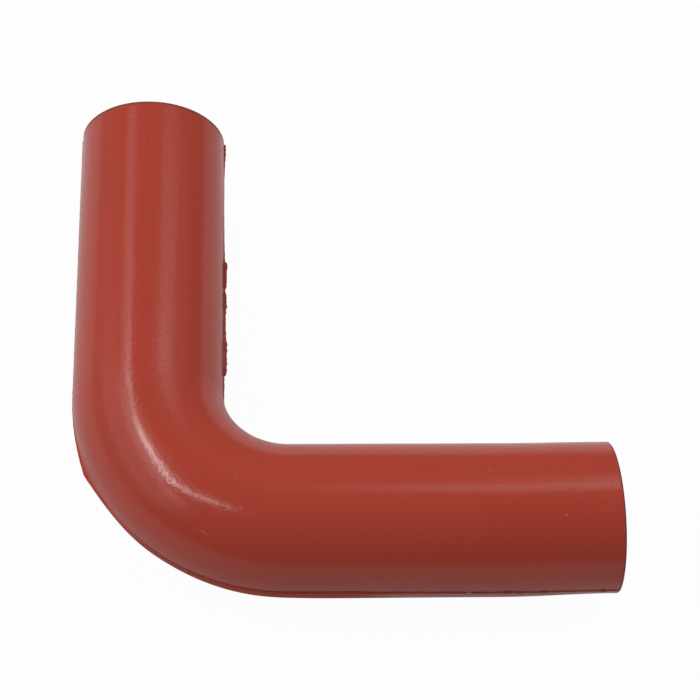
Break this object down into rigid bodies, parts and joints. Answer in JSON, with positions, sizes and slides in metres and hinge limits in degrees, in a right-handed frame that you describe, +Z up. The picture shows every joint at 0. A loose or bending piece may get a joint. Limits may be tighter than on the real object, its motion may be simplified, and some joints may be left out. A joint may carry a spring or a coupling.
{
  "type": "upper radiator hose",
  "caption": "Moulded red rubber elbow hose with straight legs either side of a right-angle bend, open knife-cut ends, and flash along its parting line.",
  "frame": {"origin": "middle of the bounding box's underside, on the surface that the hose lies on", "axes": "+Z up, square to the level parting plane; leg A runs along +Y from the bend and leg B along +X"},
  "size_m": [0.1712, 0.1672, 0.048],
  "materials": {
    "red_rubber": "satin moulded rubber, slightly chalky, with a soft sheen"
  },
  "bodies": {
    "root": {"radiator_hose": "red_rubber"}
  },
  "joints": []
}
